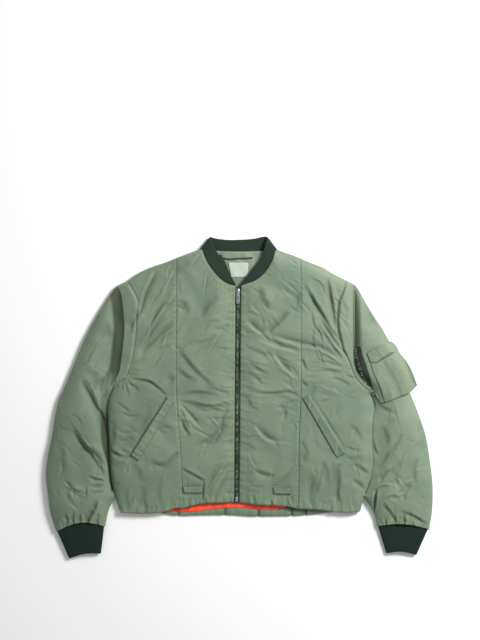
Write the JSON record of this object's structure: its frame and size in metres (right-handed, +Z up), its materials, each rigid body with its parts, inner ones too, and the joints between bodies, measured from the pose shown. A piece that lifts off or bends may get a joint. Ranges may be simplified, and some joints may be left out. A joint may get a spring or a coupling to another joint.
{
  "type": "bomber jacket",
  "caption": "Light-padded satin bomber jacket laid flat on its back, zipped, with rib collar and cuffs, slanted front pockets and a utility pocket on the left sleeve",
  "frame": {"origin": "on the surface the jacket lies on, under the middle of its outline", "axes": "+Z up out of the surface, +Y towards the collar, +X towards the wearer's left sleeve"},
  "size_m": [0.9658, 0.8056, 0.0302],
  "materials": {
    "sage_satin_nylon": "satin-weave nylon, soft sheen, light padding behind",
    "dark_green_rib_knit": "matt double rib knit",
    "orange_lining": "smooth plain-weave lining",
    "dark_green_zip_tape": "matt woven zip tape",
    "silver_zip_metal": "bright nickel-coloured zip metal",
    "off_white_label": "plain woven label, bare"
  },
  "bodies": {
    "jacket": {"back": "sage_satin_nylon", "front_right_centre": "sage_satin_nylon", "front_right_side": "sage_satin_nylon", "front_left_centre": "sage_satin_nylon", "front_left_side": "sage_satin_nylon", "sleeve_right_upper": "sage_satin_nylon", "sleeve_right_under": "sage_satin_nylon", "sleeve_left_upper": "sage_satin_nylon", "sleeve_left_under": "sage_satin_nylon", "neck_facing": "sage_satin_nylon", "hem_facing_back": "sage_satin_nylon", "hem_tab_right": "sage_satin_nylon", "hem_tab_left": "sage_satin_nylon", "welt_right": "sage_satin_nylon", "welt_left": "sage_satin_nylon", "sleeve_pocket_base": "sage_satin_nylon", "sleeve_pocket_pen_band": "sage_satin_nylon", "sleeve_pocket_panel": "sage_satin_nylon", "collar": "dark_green_rib_knit", "cuff_right": "dark_green_rib_knit", "cuff_left": "dark_green_rib_knit", "hanger_loop": "dark_green_rib_knit", "zip_tape_right": "dark_green_zip_tape", "zip_tape_left": "dark_green_zip_tape", "sleeve_pocket_zip_tape": "dark_green_zip_tape", "zip_chain": "silver_zip_metal", "zip_slider": "silver_zip_metal", "zip_retainer_box": "silver_zip_metal", "sleeve_pocket_zip_chain": "silver_zip_metal", "lining_back": "orange_lining", "neck_label": "off_white_label"},
    "pull": {"zip_pull": "silver_zip_metal"}
  },
  "joints": [
    {"name": "zip_pull_swing", "type": "hinge", "parent": "jacket", "child": "pull", "pos_m": [-0.00314, 0.2655, 0.02005], "axis": [-1, 0, 0], "range_deg": [0, 165]}
  ]
}
